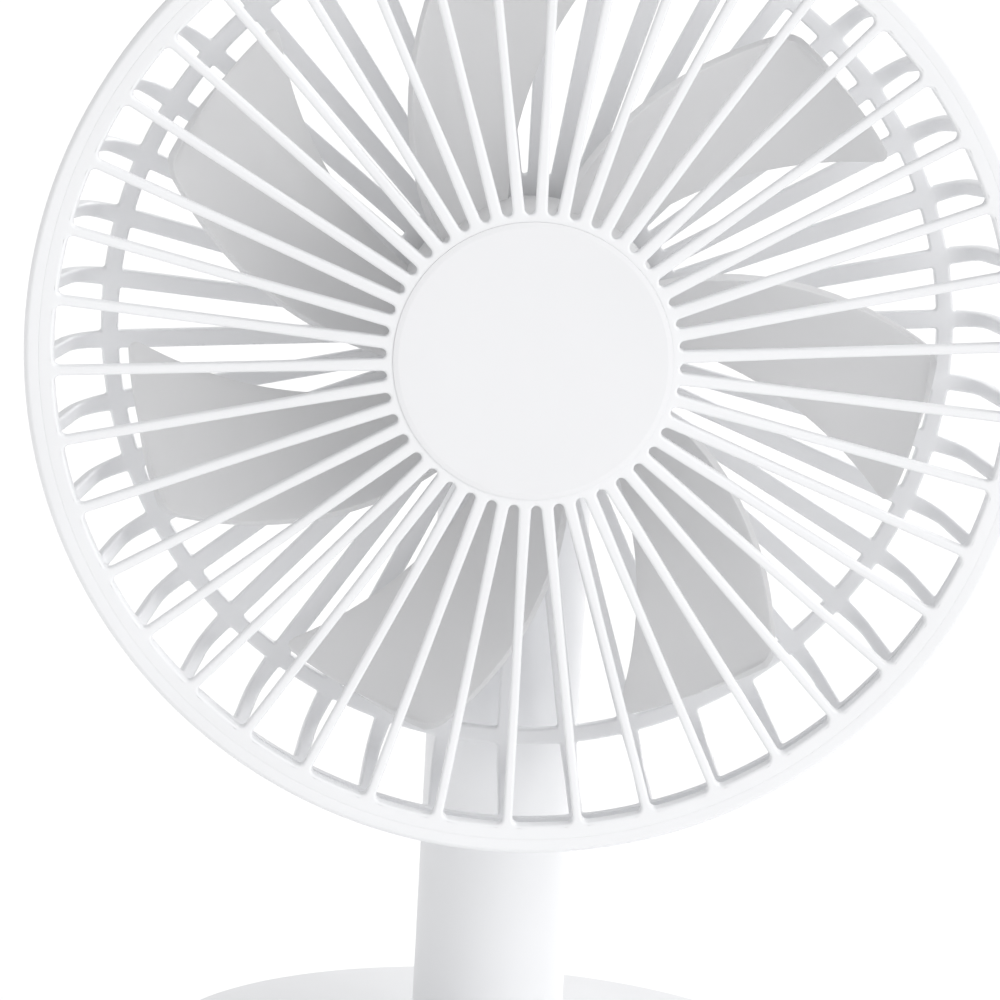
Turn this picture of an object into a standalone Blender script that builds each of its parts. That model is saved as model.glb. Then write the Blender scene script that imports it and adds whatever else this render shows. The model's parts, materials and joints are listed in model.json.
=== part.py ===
"""Desk fan: weighted round base, swivelling post and a tilting head with a barred grille.

Metres, +Z up. The origin is the centre of the foot ring's bottom face, on the post's axis.
The fan blows towards -Y. Pieces of the head are modelled in the head's own frame, whose
origin is the tilt pivot: x to the right, y up and z forward.
"""
import bpy
import bmesh
import math
from mathutils import Matrix, Vector

MM = 0.001
GAP = 0.3                       # clearance between pieces that touch, mm

# Driving dimensions, mm
HEAD_RADIUS = 85.2              # outside of the grille's rim
BASE_RADIUS = 61.5
BASE_HEIGHT = 24.0
HEAD_HEIGHT = 162.0             # tilt pivot above the table
FACE_Z = 60.0                   # centre cap's face in front of the pivot
POST_RADIUS = 13.7
POST_BORE = 11.5
YOKE_DROP = 17.0                # seam between post and yoke, below the pivot

BAR_COUNT = 42
FRONT_BAR_WIDTH = 1.6
REAR_BAR_WIDTH = 3.0
CAP_RADIUS = 23.1
HUB_RING_RADIUS = 24.3

BLADE_COUNT = 7
BLADE_TIP = 68.8
HUB_RADIUS = 24.0
BLADE_PHASE = 34.8              # first blade's base angle, degrees
SHAFT_RADIUS = 1.5

COIL_COUNT = 6
BOSS_ANGLES = (60, 120, 240, 300)
BOSS_CIRCLE = 35.0
BUTTON_Y = -40.0
LENS_Y = BUTTON_Y - 12.0
SHELL_STEPS = 60                # sides of the base shell, half a side off the button's line
TONGUE_HALF_WIDTH = 4.8
EAR_INSIDE = 6.2                # half the gap between the yoke's ears
BRACKET_SCREWS = 18.0           # radius of the screw circle behind the head
BRACKET_ANGLES = (90, 210, 330)
MOTOR_SCREWS = 11.0
MOTOR_ANGLES = (30, 150, 270)


# ---------------------------------------------------------------- materials
def material(name, colour, roughness, metallic=0.0):
    mat = bpy.data.materials.new(name)
    mat.use_nodes = True
    shader = mat.node_tree.nodes["Principled BSDF"]
    shader.inputs["Base Color"].default_value = (*colour, 1.0)
    shader.inputs["Roughness"].default_value = roughness
    shader.inputs["Metallic"].default_value = metallic
    mat.diffuse_color = (*colour, 1.0)
    return mat


def make_materials():
    return {
        "white": material("white_plastic", (0.86, 0.87, 0.88), 0.42),
        "blade": material("blade_plastic", (0.80, 0.81, 0.83), 0.38),
        "steel": material("steel", (0.60, 0.61, 0.62), 0.35, 1.0),
        "copper": material("copper", (0.72, 0.35, 0.18), 0.35, 1.0),
        "magnet": material("magnet", (0.08, 0.08, 0.085), 0.6),
        "rubber": material("rubber", (0.55, 0.56, 0.57), 0.85),
        "board": material("board", (0.03, 0.22, 0.10), 0.5),
        "black": material("black_plastic", (0.03, 0.03, 0.032), 0.5),
        "wrap": material("battery_wrap", (0.10, 0.25, 0.45), 0.4),
        "lens": material("lens", (0.75, 0.9, 0.95), 0.2),
    }


# ---------------------------------------------------------------- mesh helpers
def to_object(name, bm, mat, parent=None, smooth_angle=35):
    bmesh.ops.recalc_face_normals(bm, faces=bm.faces)
    if bm.calc_volume(signed=True) < 0:
        bmesh.ops.reverse_faces(bm, faces=bm.faces)
    mesh = bpy.data.meshes.new(name)
    bm.to_mesh(mesh)
    bm.free()
    mesh.materials.append(mat)
    mesh.shade_smooth()
    mesh.set_sharp_from_angle(angle=math.radians(smooth_angle))
    obj = bpy.data.objects.new(name, mesh)
    bpy.context.scene.collection.objects.link(obj)
    obj.parent = parent
    return obj


def guide(obj):
    """A shape that only cuts or joins another one."""
    obj.hide_render = True
    obj.display_type = "WIRE"
    return obj


def boolean(obj, operation, other):
    mod = obj.modifiers.new(f"{operation.lower()}_{other.name}", "BOOLEAN")
    mod.operation = operation
    mod.object = guide(other)


def polar(radius, degrees):
    angle = math.radians(degrees)
    return radius * math.cos(angle), radius * math.sin(angle)


def spot(x, y, z):
    """A point given in mm, in metres."""
    return Vector((x, y, z)) * MM


def lathe(bm, profile, steps=32, start=0.0, place=Matrix.Identity(4)):
    """Turn a closed profile of (r, z) points, in mm, about the z axis."""
    rings = []
    for r, z in profile:
        if r == 0:
            rings.append([bm.verts.new(place @ spot(0, 0, z))] * steps)
            continue
        ring = []
        for step in range(steps):
            angle = start + math.tau * step / steps
            ring.append(bm.verts.new(place @ spot(r * math.cos(angle), r * math.sin(angle), z)))
        rings.append(ring)
    for index, ring in enumerate(rings):
        following = rings[(index + 1) % len(rings)]
        for step in range(steps):
            after = (step + 1) % steps
            corners = list(dict.fromkeys([ring[step], ring[after], following[after], following[step]]))
            if len(corners) > 2:
                bm.faces.new(corners)


def turned(name, profile, mat, parent=None, steps=32, start=0.0, place=Matrix.Identity(4)):
    bm = bmesh.new()
    lathe(bm, profile, steps, start, place)
    return to_object(name, bm, mat, parent)


def disc_profile(radius, low, high):
    return [(0, low), (radius, low), (radius, high), (0, high)]


def ring_profile(inner, outer, low, high):
    return [(inner, low), (outer, low), (outer, high), (inner, high)]


def box(name, low, high, mat, parent=None):
    bm = bmesh.new()
    size = spot(*high) - spot(*low)
    centre = (spot(*high) + spot(*low)) / 2
    bmesh.ops.create_cube(bm, size=1.0, matrix=Matrix.Translation(centre) @ Matrix.Diagonal((*size, 1.0)))
    return to_object(name, bm, mat, parent)


def add_prism(bm, outline, low, high, place):
    lower = [bm.verts.new(place @ spot(x, y, low)) for x, y in outline]
    upper = [bm.verts.new(place @ spot(x, y, high)) for x, y in outline]
    bm.faces.new(lower)
    bm.faces.new(upper)
    for index in range(len(outline)):
        after = (index + 1) % len(outline)
        bm.faces.new((lower[index], lower[after], upper[after], upper[index]))


def extruded(name, outline, low, high, mat, parent=None, place=Matrix.Identity(4)):
    """Raise a closed (x, y) outline, in mm, from z = low to z = high."""
    bm = bmesh.new()
    add_prism(bm, outline, low, high, place)
    return to_object(name, bm, mat, parent)


def turned_group(name, placed, mat, parent=None):
    """Turned cutters or bosses in one mesh: placed holds (x, y, profile, steps) of each."""
    bm = bmesh.new()
    for x, y, profile, steps in placed:
        lathe(bm, profile, steps, place=Matrix.Translation(spot(x, y, 0)))
    return to_object(name, bm, mat, parent)


def on_circle(circle, angles, profile, steps=10):
    return [(*polar(circle, degrees), profile, steps) for degrees in angles]


def barred_shell(name, stations, bar_width, mat, parent, gap_steps=1):
    """A turned shell with open spans that BAR_COUNT straight bars cross.

    Each station is (outer r, outer z, inner r, inner z, solid): the two skins' points, and
    whether the span up to the next station is a closed ring. One bar stands straight down.
    """
    bm = bmesh.new()
    pitch = math.tau / BAR_COUNT
    per_bar = 1 + gap_steps
    columns = BAR_COUNT * per_bar

    def present(span, sector):
        if span < 0 or span >= len(stations) - 1:
            return False
        return stations[span][4] or sector % per_bar == 0

    def point(station, skin, column):
        radius, height = stations[station][2 * skin], stations[station][2 * skin + 1]
        half = min(math.asin(bar_width / 2 / radius), 0.4 * pitch)
        bar, part = divmod(column, per_bar)
        start = -math.pi / 2 + bar * pitch
        angle = start - half
        if part:
            angle = start + half + (pitch - 2 * half) * (part - 1) / gap_steps
        return spot(radius * math.cos(angle), radius * math.sin(angle), height)

    verts = {}

    def vert(station, skin, column):
        key = (station, skin, column % columns)
        if key not in verts:
            verts[key] = bm.verts.new(point(*key))
        return verts[key]

    for column in range(columns):
        for span in range(len(stations) - 1):
            if present(span, column):
                for skin in (0, 1):
                    bm.faces.new((vert(span, skin, column), vert(span + 1, skin, column),
                                  vert(span + 1, skin, column + 1), vert(span, skin, column + 1)))
            if present(span, column) != present(span, column - 1):
                bm.faces.new((vert(span, 0, column), vert(span + 1, 0, column),
                              vert(span + 1, 1, column), vert(span, 1, column)))
        for station in range(len(stations)):
            if present(station - 1, column) != present(station, column):
                bm.faces.new((vert(station, 0, column), vert(station, 0, column + 1),
                              vert(station, 1, column + 1), vert(station, 1, column)))
    return to_object(name, bm, mat, parent)


def screw_profile(head, shank, seat, tip, top):
    """Cylinder-head screw along z: its head from seat to top, its shank down to tip."""
    return [(0, tip), (shank, tip), (shank, seat), (head, seat), (head, top), (0, top)]


def axis_empty(name, location, rotation=(0, 0, 0), parent=None):
    empty = bpy.data.objects.new(name, None)
    empty.location = spot(*location)
    empty.rotation_euler = rotation
    empty.parent = parent
    bpy.context.scene.collection.objects.link(empty)
    return empty


# ---------------------------------------------------------------- head
def depth(behind):
    """Height in the head's frame of a point this far behind the cap's face."""
    return FACE_Z - behind


def build_grilles(mats, head):
    front = [
        (6.0, depth(1.5), 6.0, depth(3.2), True),
        (23.4, depth(1.5), 23.4, depth(3.2), True),
        (HUB_RING_RADIUS, depth(0.4), HUB_RING_RADIUS, depth(3.4), False),
        (80.0, depth(2.2), 80.0, depth(5.0), True),
        (82.1, depth(2.2), 82.1, depth(5.4), True),
    ]
    barred_shell("front_grille", front, FRONT_BAR_WIDTH, mats["white"], head)
    cap = [(0, depth(2.8)), (5.6, depth(2.8)), (5.6, depth(1.2)), (CAP_RADIUS - 0.3, depth(1.2)),
           (CAP_RADIUS, depth(0.3)), (CAP_RADIUS - 0.4, depth(0)), (0, depth(0))]
    turned("front_cap", cap, mats["white"], head, steps=42)

    rim = [
        (83.6, depth(1.9), 82.4, depth(1.9), True),
        (HEAD_RADIUS, depth(4.2), 82.4, depth(5.7), True),
        (HEAD_RADIUS, depth(6.0), 81.2, depth(5.7), True),
        (HEAD_RADIUS, depth(7.4), 81.2, depth(6.9), True),
        (HEAD_RADIUS, depth(9.0), 82.4, depth(8.1), True),
        (HEAD_RADIUS, depth(13.0), 82.4, depth(13.0), True),
    ]
    barred_shell("guard_ring", rim, REAR_BAR_WIDTH, mats["white"], head)

    rear = [
        (HEAD_RADIUS, depth(13.3), 82.4, depth(13.3), True),
        (HEAD_RADIUS, depth(16.6), 82.4, depth(16.6), True),
        (84.6, depth(17.4), 82.2, depth(17.4), False),
        (81.6, depth(32.0), 79.2, depth(31.2), False),
        (79.4, depth(37.6), 77.6, depth(35.4), False),
        (76.0, depth(39.4), 75.2, depth(37.0), False),
        (74.2, depth(39.6), 74.2, depth(37.2), True),
        (71.2, depth(39.6), 71.2, depth(37.2), False),
        (26.5, depth(39.6), 26.5, depth(37.2), True),
        (4.0, depth(39.6), 4.0, depth(37.2), True),
    ]
    basket = barred_shell("rear_grille", rear, REAR_BAR_WIDTH, mats["white"], head)
    hole = disc_profile(1.5, depth(41), depth(36))
    holes = on_circle(BRACKET_SCREWS, BRACKET_ANGLES, hole) + on_circle(MOTOR_SCREWS, MOTOR_ANGLES, hole)
    boolean(basket, "DIFFERENCE", turned_group("plate_holes", holes, mats["white"], head))


def build_tilt_bracket(mats, head):
    """Rear cover of the motor with the tongue that reaches back to the pivot."""
    dome = [(0, depth(39.9)), (23.8, depth(39.9)), (23.8, depth(41.0)), (22.6, depth(42.6)),
            (20.0, depth(43.5)), (0, depth(43.5))]
    bracket = turned("tilt_bracket", dome, mats["white"], head, steps=28)
    outline = [(depth(41.5), 6.6)]
    outline += [polar(6.6, degrees) for degrees in range(90, 271, 20)]
    outline += [(depth(41.5), -6.6)]
    stand = Matrix(((0, 0, 1, 0), (0, 1, 0, 0), (1, 0, 0, 0), (0, 0, 0, 1)))
    tongue = extruded("tongue", outline, -TONGUE_HALF_WIDTH, TONGUE_HALF_WIDTH, mats["white"],
                      head, stand)
    boolean(bracket, "UNION", tongue)
    across = Matrix.Rotation(math.pi / 2, 4, "Y")
    pin_hole = turned("tongue_pin_hole", disc_profile(2.3, -8, 8), mats["white"], head, 20, place=across)
    boolean(bracket, "DIFFERENCE", pin_hole)
    counterbore = [(0, depth(45)), (2.7, depth(45)), (2.7, depth(41.6)), (1.5, depth(41.6)),
                   (1.5, depth(39)), (0, depth(39))]
    counterbores = on_circle(BRACKET_SCREWS, BRACKET_ANGLES, counterbore)
    boolean(bracket, "DIFFERENCE", turned_group("counterbores", counterbores, mats["white"], head))
    for number, degrees in enumerate(BRACKET_ANGLES, 1):
        x, y = polar(BRACKET_SCREWS, degrees)
        place = Matrix.Translation(spot(x, y, 0))
        profile = [(0, depth(37.5)), (1.2, depth(37.5)), (1.2, depth(41.9)), (2.4, depth(41.9)),
                   (2.4, depth(43.2)), (0, depth(43.2))]
        turned(f"bracket_screw_{number}", profile, mats["steel"], head, 12, place=place)


def build_motor(mats, head, spin):
    bracket = [(3.9, depth(13.6)), (5.1, depth(13.6)), (5.1, depth(33.7)), (17.0, depth(33.7)),
               (17.0, depth(36.9)), (3.9, depth(36.9))]
    mount = turned("motor_bracket", bracket, mats["white"], head, 24)
    hole = disc_profile(1.4, depth(38), depth(33))
    holes = on_circle(MOTOR_SCREWS, MOTOR_ANGLES, hole)
    boolean(mount, "DIFFERENCE", turned_group("bracket_holes", holes, mats["white"], head))
    for number, degrees in enumerate(MOTOR_ANGLES, 1):
        x, y = polar(MOTOR_SCREWS, degrees)
        profile = screw_profile(2.1, 1.1, depth(33.4), depth(39.2), depth(32.0))
        turned(f"motor_screw_{number}", profile, mats["steel"], head, 12,
               place=Matrix.Translation(spot(x, y, 0)))
    turned("bearing_front", ring_profile(1.8, 3.6, depth(17.0), depth(14.0)), mats["steel"], head, 24)
    turned("bearing_rear", ring_profile(1.8, 3.6, depth(33.0), depth(30.0)), mats["steel"], head, 24)
    turned("motor_board", ring_profile(5.6, 15.5, depth(29.6), depth(28.4)), mats["board"], head, 24)

    core = turned("stator_core", ring_profile(5.4, 7.4, depth(25), depth(17)), mats["steel"], head, 24)
    bm = bmesh.new()
    for number in range(COIL_COUNT):
        turn = Matrix.Rotation(math.tau * number / COIL_COUNT, 4, "Z")
        outline = [(6.4, -1.5), (12.8, -1.5), polar(12.9, -22), polar(14.2, -24), polar(14.3, -8),
                   polar(14.3, 8), polar(14.2, 24), polar(12.9, 22), (12.8, 1.5), (6.4, 1.5)]
        add_prism(bm, outline, depth(25), depth(17), turn)
    boolean(core, "UNION", to_object("stator_teeth", bm, mats["steel"], head))
    for number in range(COIL_COUNT):
        build_coil(f"coil_{number + 1}", math.tau * number / COIL_COUNT, mats, head)

    turned("motor_shaft", disc_profile(SHAFT_RADIUS, depth(35.6), depth(8.6)), mats["steel"], spin, 20)
    turned("shaft_clip", ring_profile(1.8, 3.2, depth(34.4), depth(33.8)), mats["steel"], spin, 20)
    cup = [(1.8, depth(12.2)), (1.8, depth(11.1)), (16.8, depth(11.1)), (17.6, depth(12.0)),
           (17.6, depth(28.0)), (16.5, depth(28.0)), (16.5, depth(12.2))]
    turned("rotor_cup", cup, mats["steel"], spin, 28)
    turned("rotor_magnet", ring_profile(14.9, 16.2, depth(27.0), depth(14.0)), mats["magnet"], spin, 28)


def build_coil(name, angle, mats, head):
    """One winding, a rounded collar around its tooth."""
    middle = (depth(17) + depth(25)) / 2
    lay = Matrix.Rotation(angle, 4, "Z") @ Matrix.Translation(spot(0, 0, middle)) @ Matrix.Rotation(
        math.pi / 2, 4, "Y")
    inner = [(-4.3, -1.8), (4.3, -1.8), (4.3, 1.8), (-4.3, 1.8)]
    outer = [(-5.9, -2.0), (-4.7, -3.4), (4.7, -3.4), (5.9, -2.0),
             (5.9, 2.0), (4.7, 3.4), (-4.7, 3.4), (-5.9, 2.0)]
    bm = bmesh.new()
    ends = []
    for radius in (8.2, 12.3):
        ends.append([[bm.verts.new(lay @ spot(a, b, radius)) for a, b in shape]
                     for shape in (inner, outer)])
    for skin in (0, 1):
        near, far = ends[0][skin], ends[1][skin]
        for index in range(len(near)):
            after = (index + 1) % len(near)
            bm.faces.new((near[index], near[after], far[after], far[index]))
    for inside, outside in ends:
        for corner in range(4):
            first, second = outside[2 * corner], outside[2 * corner + 1]
            third = outside[(2 * corner + 2) % 8]
            bm.faces.new((inside[corner], first, second))
            bm.faces.new((inside[corner], second, third, inside[(corner + 1) % 4]))
    to_object(name, bm, mats["copper"], head)


def build_impeller(mats, spin):
    hub = [(1.8, depth(10.8)), (1.8, depth(8.2)), (22.4, depth(8.2)), (HUB_RADIUS, depth(9.8)),
           (HUB_RADIUS, depth(33.0)), (22.0, depth(33.0)), (22.0, depth(10.8))]
    impeller = turned("impeller", hub, mats["blade"], spin, 36)
    bm = bmesh.new()
    radii = (22.9, 30.0, 39.0, 50.0, 60.0, BLADE_TIP)
    chord_steps = 4
    for blade in range(BLADE_COUNT):
        base = BLADE_PHASE + 360 * blade / BLADE_COUNT
        rows = []
        for radius in radii:
            along = (radius - HUB_RADIUS) / (BLADE_TIP - HUB_RADIUS)
            leading = base + 16.4 - 0.5 * (radius - HUB_RADIUS)
            trailing = base + 47.1 - 0.635 * (radius - HUB_RADIUS)
            front, rear = 13.5 + 4.5 * along, 31.0 - 1.0 * along
            row = []
            for step in range(chord_steps + 1):
                t = step / chord_steps
                x, y = polar(radius, leading + (trailing - leading) * t)
                z = depth(rear + (front - rear) * t + 1.8 * math.sin(math.pi * t))
                row.append(bm.verts.new(spot(x, y, z)))
            rows.append(row)
        for inner, outer in zip(rows, rows[1:]):
            for step in range(chord_steps):
                bm.faces.new((inner[step], outer[step], outer[step + 1], inner[step + 1]))
    blades = to_object("blades", bm, mats["blade"], spin)
    solid = blades.modifiers.new("thickness", "SOLIDIFY")
    solid.thickness = 1.5 * MM
    solid.offset = 0.0
    boolean(impeller, "UNION", blades)


# ---------------------------------------------------------------- post
def build_post(mats, post):
    seam = HEAD_HEIGHT - YOKE_DROP
    tube = ring_profile(POST_BORE, POST_RADIUS, BASE_HEIGHT + 1.2, seam - GAP)
    turned("post_tube", tube, mats["white"], post, 40)
    foot = [(8.5, 13.0), (16.0, 13.0), (16.0, 16.0), (POST_BORE - GAP, 16.0),
            (POST_BORE - GAP, 42.0), (8.5, 42.0)]
    turned("post_foot", foot, mats["black"], post, 28)
    turned("swivel_washer", ring_profile(11.9, 15.2, 16.25, 16.75), mats["steel"], post, 28)

    spigot = POST_BORE - GAP
    body = [(0, seam - 12), (spigot, seam - 12), (spigot, seam), (POST_RADIUS, seam),
            (POST_RADIUS, HEAD_HEIGHT + 15), (0, HEAD_HEIGHT + 15)]
    yoke = turned("post_yoke", body, mats["white"], post, 32)
    outline = [(-15, -30), (15, -30), (15, -2)]
    outline += [polar(POST_RADIUS, degrees) for degrees in range(0, 181, 12)]
    outline += [(-15, -2)]
    pivot = Matrix.Translation(spot(0, 0, HEAD_HEIGHT))
    lay = pivot @ Matrix(((0, 0, 1, 0), (1, 0, 0, 0), (0, 1, 0, 0), (0, 0, 0, 1)))
    boolean(yoke, "INTERSECT", extruded("yoke_outline", outline, -20, 20, mats["white"], post, lay))
    slot = box("yoke_slot", (-EAR_INSIDE, -20, HEAD_HEIGHT - 8.6),
               (EAR_INSIDE, 20, HEAD_HEIGHT + 20), mats["white"], post)
    boolean(yoke, "DIFFERENCE", slot)
    across = pivot @ Matrix.Rotation(math.pi / 2, 4, "Y")
    bore = [(0, -20), (4.7, -20), (4.7, -9.4), (2.3, -9.4), (2.3, 9.4), (4.7, 9.4), (4.7, 20), (0, 20)]
    boolean(yoke, "DIFFERENCE", turned("yoke_bore", bore, mats["white"], post, 24, place=across))

    pin = [(0, -11.6), (3.9, -11.6), (3.9, -9.7), (2.0, -9.7), (2.0, 11.7), (0, 11.7)]
    turned("pivot_pin", pin, mats["steel"], post, 20, place=across)
    turned("pivot_nut", ring_profile(2.3, 4.1, 9.7, 11.6), mats["steel"], post, 6, place=across)
    turned("pivot_cap_left", disc_profile(4.4, -13.0, -12.0), mats["white"], post, 24, place=across)
    turned("pivot_cap_right", disc_profile(4.4, 12.0, 13.0), mats["white"], post, 24, place=across)
    for side, low in (("left", -5.9), ("right", 5.1)):
        turned(f"tilt_washer_{side}", ring_profile(2.4, 6.2, low, low + 0.8), mats["black"], post,
               24, place=across)


# ---------------------------------------------------------------- base
def build_base(mats):
    top, wall = BASE_HEIGHT, 2.4
    under = top - wall
    outer = [(BASE_RADIUS, 1.2)]
    corner = 1.5
    for degrees in (0, 30, 60, 90):
        x, y = polar(corner, degrees)
        outer.append((BASE_RADIUS - corner + x, top - corner + y))
    profile = outer + [(11.8, top), (11.8, 17.0), (15.5, 17.0), (15.5, under),
                       (BASE_RADIUS - 5.2, under), (BASE_RADIUS - wall, under - 2.6),
                       (BASE_RADIUS - wall, 1.2)]
    shell = turned("base_shell", profile, mats["white"], steps=SHELL_STEPS, start=math.pi / SHELL_STEPS)
    bosses = on_circle(BOSS_CIRCLE, BOSS_ANGLES, disc_profile(3.2, 4.2, under + 1), 12)
    boolean(shell, "UNION", turned_group("screw_bosses", bosses, mats["white"]))
    holes = on_circle(BOSS_CIRCLE, BOSS_ANGLES, disc_profile(1.5, 3.0, 15.0))
    holes.append((0, BUTTON_Y, disc_profile(7.4, 19, 26), 24))
    holes.append((0, LENS_Y, disc_profile(1.6, 19, 26), 16))
    boolean(shell, "DIFFERENCE", turned_group("shell_holes", holes, mats["white"]))
    boolean(shell, "DIFFERENCE", box("usb_window", (-5.3, 52, 11.4), (5.3, 65, 15.6), mats["white"]))

    plate_low, plate_high = 0.9, 3.6
    plate = [(0, plate_low), (43.7, plate_low), (43.7, 1.9), (52.3, 1.9), (52.3, plate_low),
             (BASE_RADIUS - wall - GAP, plate_low), (BASE_RADIUS - wall - GAP, plate_high), (0, plate_high)]
    bottom = turned("bottom_plate", plate, mats["white"], steps=40)
    head_bore = [(0, 0), (2.9, 0), (2.9, 2.4), (1.5, 2.4), (1.5, 5), (0, 5)]
    bores = on_circle(BOSS_CIRCLE, BOSS_ANGLES, head_bore)
    boolean(bottom, "DIFFERENCE", turned_group("plate_bores", bores, mats["white"]))
    turned("foot_ring", ring_profile(44.0, 52.0, 0.0, 1.6), mats["rubber"], steps=40)
    for number, degrees in enumerate(BOSS_ANGLES, 1):
        x, y = polar(BOSS_CIRCLE, degrees)
        profile = [(0, 1.0), (2.6, 1.0), (2.6, 2.1), (1.2, 2.1), (1.2, 12.0), (0, 12.0)]
        turned(f"base_screw_{number}", profile, mats["steel"], steps=12,
               place=Matrix.Translation(spot(x, y, 0)))
    turned("ballast_ring", ring_profile(39.5, 54.0, 3.9, 8.9), mats["steel"], steps=32)
    box("battery", (-26, -18, 3.9), (26, 18, 11.9), mats["wrap"])
    turned("thrust_washer", ring_profile(11.8, 13.4, 24.3, 24.9), mats["black"], steps=32)

    box("control_board", (-16, 39, 9.6), (16, 56.4, 11.2), mats["board"])
    build_socket(mats)
    box("button_board", (-11, BUTTON_Y - 9, 13.0), (11, BUTTON_Y + 9, 14.6), mats["board"])
    build_button(mats)
    turned("indicator_lens", [(0, 19.6), (2.4, 19.6), (2.4, 21.2), (1.3, 21.2), (1.3, 24.1), (0, 24.1)],
           mats["lens"], steps=16, place=Matrix.Translation(spot(0, LENS_Y, 0)))


def build_socket(mats):
    """Charging socket that opens backwards through the base's side."""
    socket = box("usb_socket", (-4.6, 52.6, 11.6), (4.6, 60.6, 15.2), mats["steel"])
    boolean(socket, "DIFFERENCE", box("socket_cavity", (-4.2, 54.0, 12.0), (4.2, 65, 14.8), mats["steel"]))
    boolean(socket, "UNION", box("socket_tongue", (-3.3, 53.4, 13.05), (3.3, 59.6, 13.75), mats["steel"]))


def build_button(mats):
    place = Matrix.Translation(spot(0, BUTTON_Y, 0))
    switch = [(0, 14.9), (2.9, 14.9), (2.9, 17.8), (1.5, 17.8), (1.5, 18.4), (0, 18.4)]
    turned("tact_switch", switch, mats["black"], steps=16, place=place)
    spring_seat = [(4.4, 20.0), (4.4, 20.7), (6.0, 20.7), (6.0, 20.0)]
    cap = [(0, 19.4), (1.5, 19.4), (1.5, 20.0), *spring_seat, (8.4, 20.0), (8.4, 21.2), (7.0, 21.2),
           (7.0, 24.2), (6.6, 24.6), (0, 24.6)]
    press = axis_empty("press_axis", (0, BUTTON_Y, 0))
    turned("power_button", cap, mats["white"], press, 24)

    turns, steps, sides = 3.5, 12, 5
    radius, wire, low, high = 5.2, 0.3, 15.2, 19.4
    bm = bmesh.new()
    rings = []
    total = int(turns * steps)
    for index in range(total + 1):
        angle = math.tau * index / steps
        height = low + (high - low) * index / total
        ring = []
        for side in range(sides):
            x, y = polar(wire, 360 * side / sides)
            reach = radius + x
            ring.append(bm.verts.new(spot(reach * math.cos(angle), BUTTON_Y + reach * math.sin(angle),
                                          height + y)))
        rings.append(ring)
    for ring, following in zip(rings, rings[1:]):
        for side in range(sides):
            after = (side + 1) % sides
            bm.faces.new((ring[side], ring[after], following[after], following[side]))
    bm.faces.new(rings[0])
    bm.faces.new(rings[-1])
    to_object("button_spring", bm, mats["steel"])


def main():
    for obj in list(bpy.data.objects):
        bpy.data.objects.remove(obj, do_unlink=True)
    mats = make_materials()
    post = axis_empty("swivel_axis", (0, 0, 0))
    head = axis_empty("tilt_axis", (0, 0, HEAD_HEIGHT), (math.pi / 2, 0, 0), post)
    spin = axis_empty("spin_axis", (0, 0, 0), parent=head)
    build_grilles(mats, head)
    build_tilt_bracket(mats, head)
    build_motor(mats, head, spin)
    build_impeller(mats, spin)
    build_post(mats, post)
    build_base(mats)


main()
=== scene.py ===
"""Looks of the desk fan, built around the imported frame. Millimetres inside, metres in the scene."""
import json
import math

import bmesh
import bpy
from mathutils import Matrix, Vector


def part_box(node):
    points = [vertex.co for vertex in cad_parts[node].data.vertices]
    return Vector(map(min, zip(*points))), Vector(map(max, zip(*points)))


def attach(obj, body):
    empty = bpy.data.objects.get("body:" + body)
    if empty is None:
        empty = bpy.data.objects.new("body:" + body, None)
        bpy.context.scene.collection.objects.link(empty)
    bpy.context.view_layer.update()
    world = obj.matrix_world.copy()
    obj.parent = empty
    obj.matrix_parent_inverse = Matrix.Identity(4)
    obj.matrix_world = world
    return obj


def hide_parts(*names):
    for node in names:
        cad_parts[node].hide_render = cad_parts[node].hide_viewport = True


MM = 0.001
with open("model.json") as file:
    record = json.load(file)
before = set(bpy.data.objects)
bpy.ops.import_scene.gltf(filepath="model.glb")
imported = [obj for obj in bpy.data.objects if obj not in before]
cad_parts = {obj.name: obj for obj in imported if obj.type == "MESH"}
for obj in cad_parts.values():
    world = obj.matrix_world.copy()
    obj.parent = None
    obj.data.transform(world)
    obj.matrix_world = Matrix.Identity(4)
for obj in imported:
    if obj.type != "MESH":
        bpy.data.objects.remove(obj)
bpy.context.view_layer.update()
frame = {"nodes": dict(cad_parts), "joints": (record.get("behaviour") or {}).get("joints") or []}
nodes = frame["nodes"]


# ---------------------------------------------------------------- sizes, from the frame where it has them
def size_mm(node):
    """A node's lowest and highest corners at rest."""
    low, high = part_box(node)
    return low / MM, high / MM


joints = {joint["name"]: joint for joint in frame["joints"]}
PIVOT = Vector(joints["head_tilt"]["pos_m"]) / MM
FACE = PIVOT.y - size_mm("front_cap")[0].y          # cap face, in front of the pivot
RIM_RADIUS = min(size_mm("guard_ring")[1].x, size_mm("guard_ring")[1].z - PIVOT.z)
CAP_RADIUS = size_mm("front_cap")[1].x
BASE_HIGH = size_mm("base_shell")[1]
BASE_RADIUS = min(BASE_HIGH.x, BASE_HIGH.y)
POST_LOW, POST_HIGH = size_mm("post_tube")
POST_RADIUS = POST_HIGH.x
YOKE_TOP = size_mm("post_yoke")[1].z
BUTTON_LOW, BUTTON_HIGH = size_mm("power_button")
BUTTON_Y = (BUTTON_LOW.y + BUTTON_HIGH.y) / 2
LENS_Y = sum(corner.y for corner in size_mm("indicator_lens")) / 2
SOCKET_LOW, SOCKET_HIGH = size_mm("usb_socket")
TONGUE_HALF_WIDTH = 4.8         # the tilt bracket's tongue stands between the post's two ears
EAR_INSIDE = 6.2

BARS = 42
PITCH = math.tau / BARS
BLADES = 7
BLADE_TIP = 68.8
HUB_RADIUS = 24.0
BLADE_PHASE = 34.8              # degrees

RING_INSIDE = 82.4              # guard ring's inner wall
RING_FACE_INSIDE = 82.45        # its opening in front, where the front grille sits
GUARD_SPLIT = 13.0              # where the guard ring ends, behind the cap's face
GUARD_BACK = 38.4               # middle of the rear grille's back bars, behind the cap's face

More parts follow.
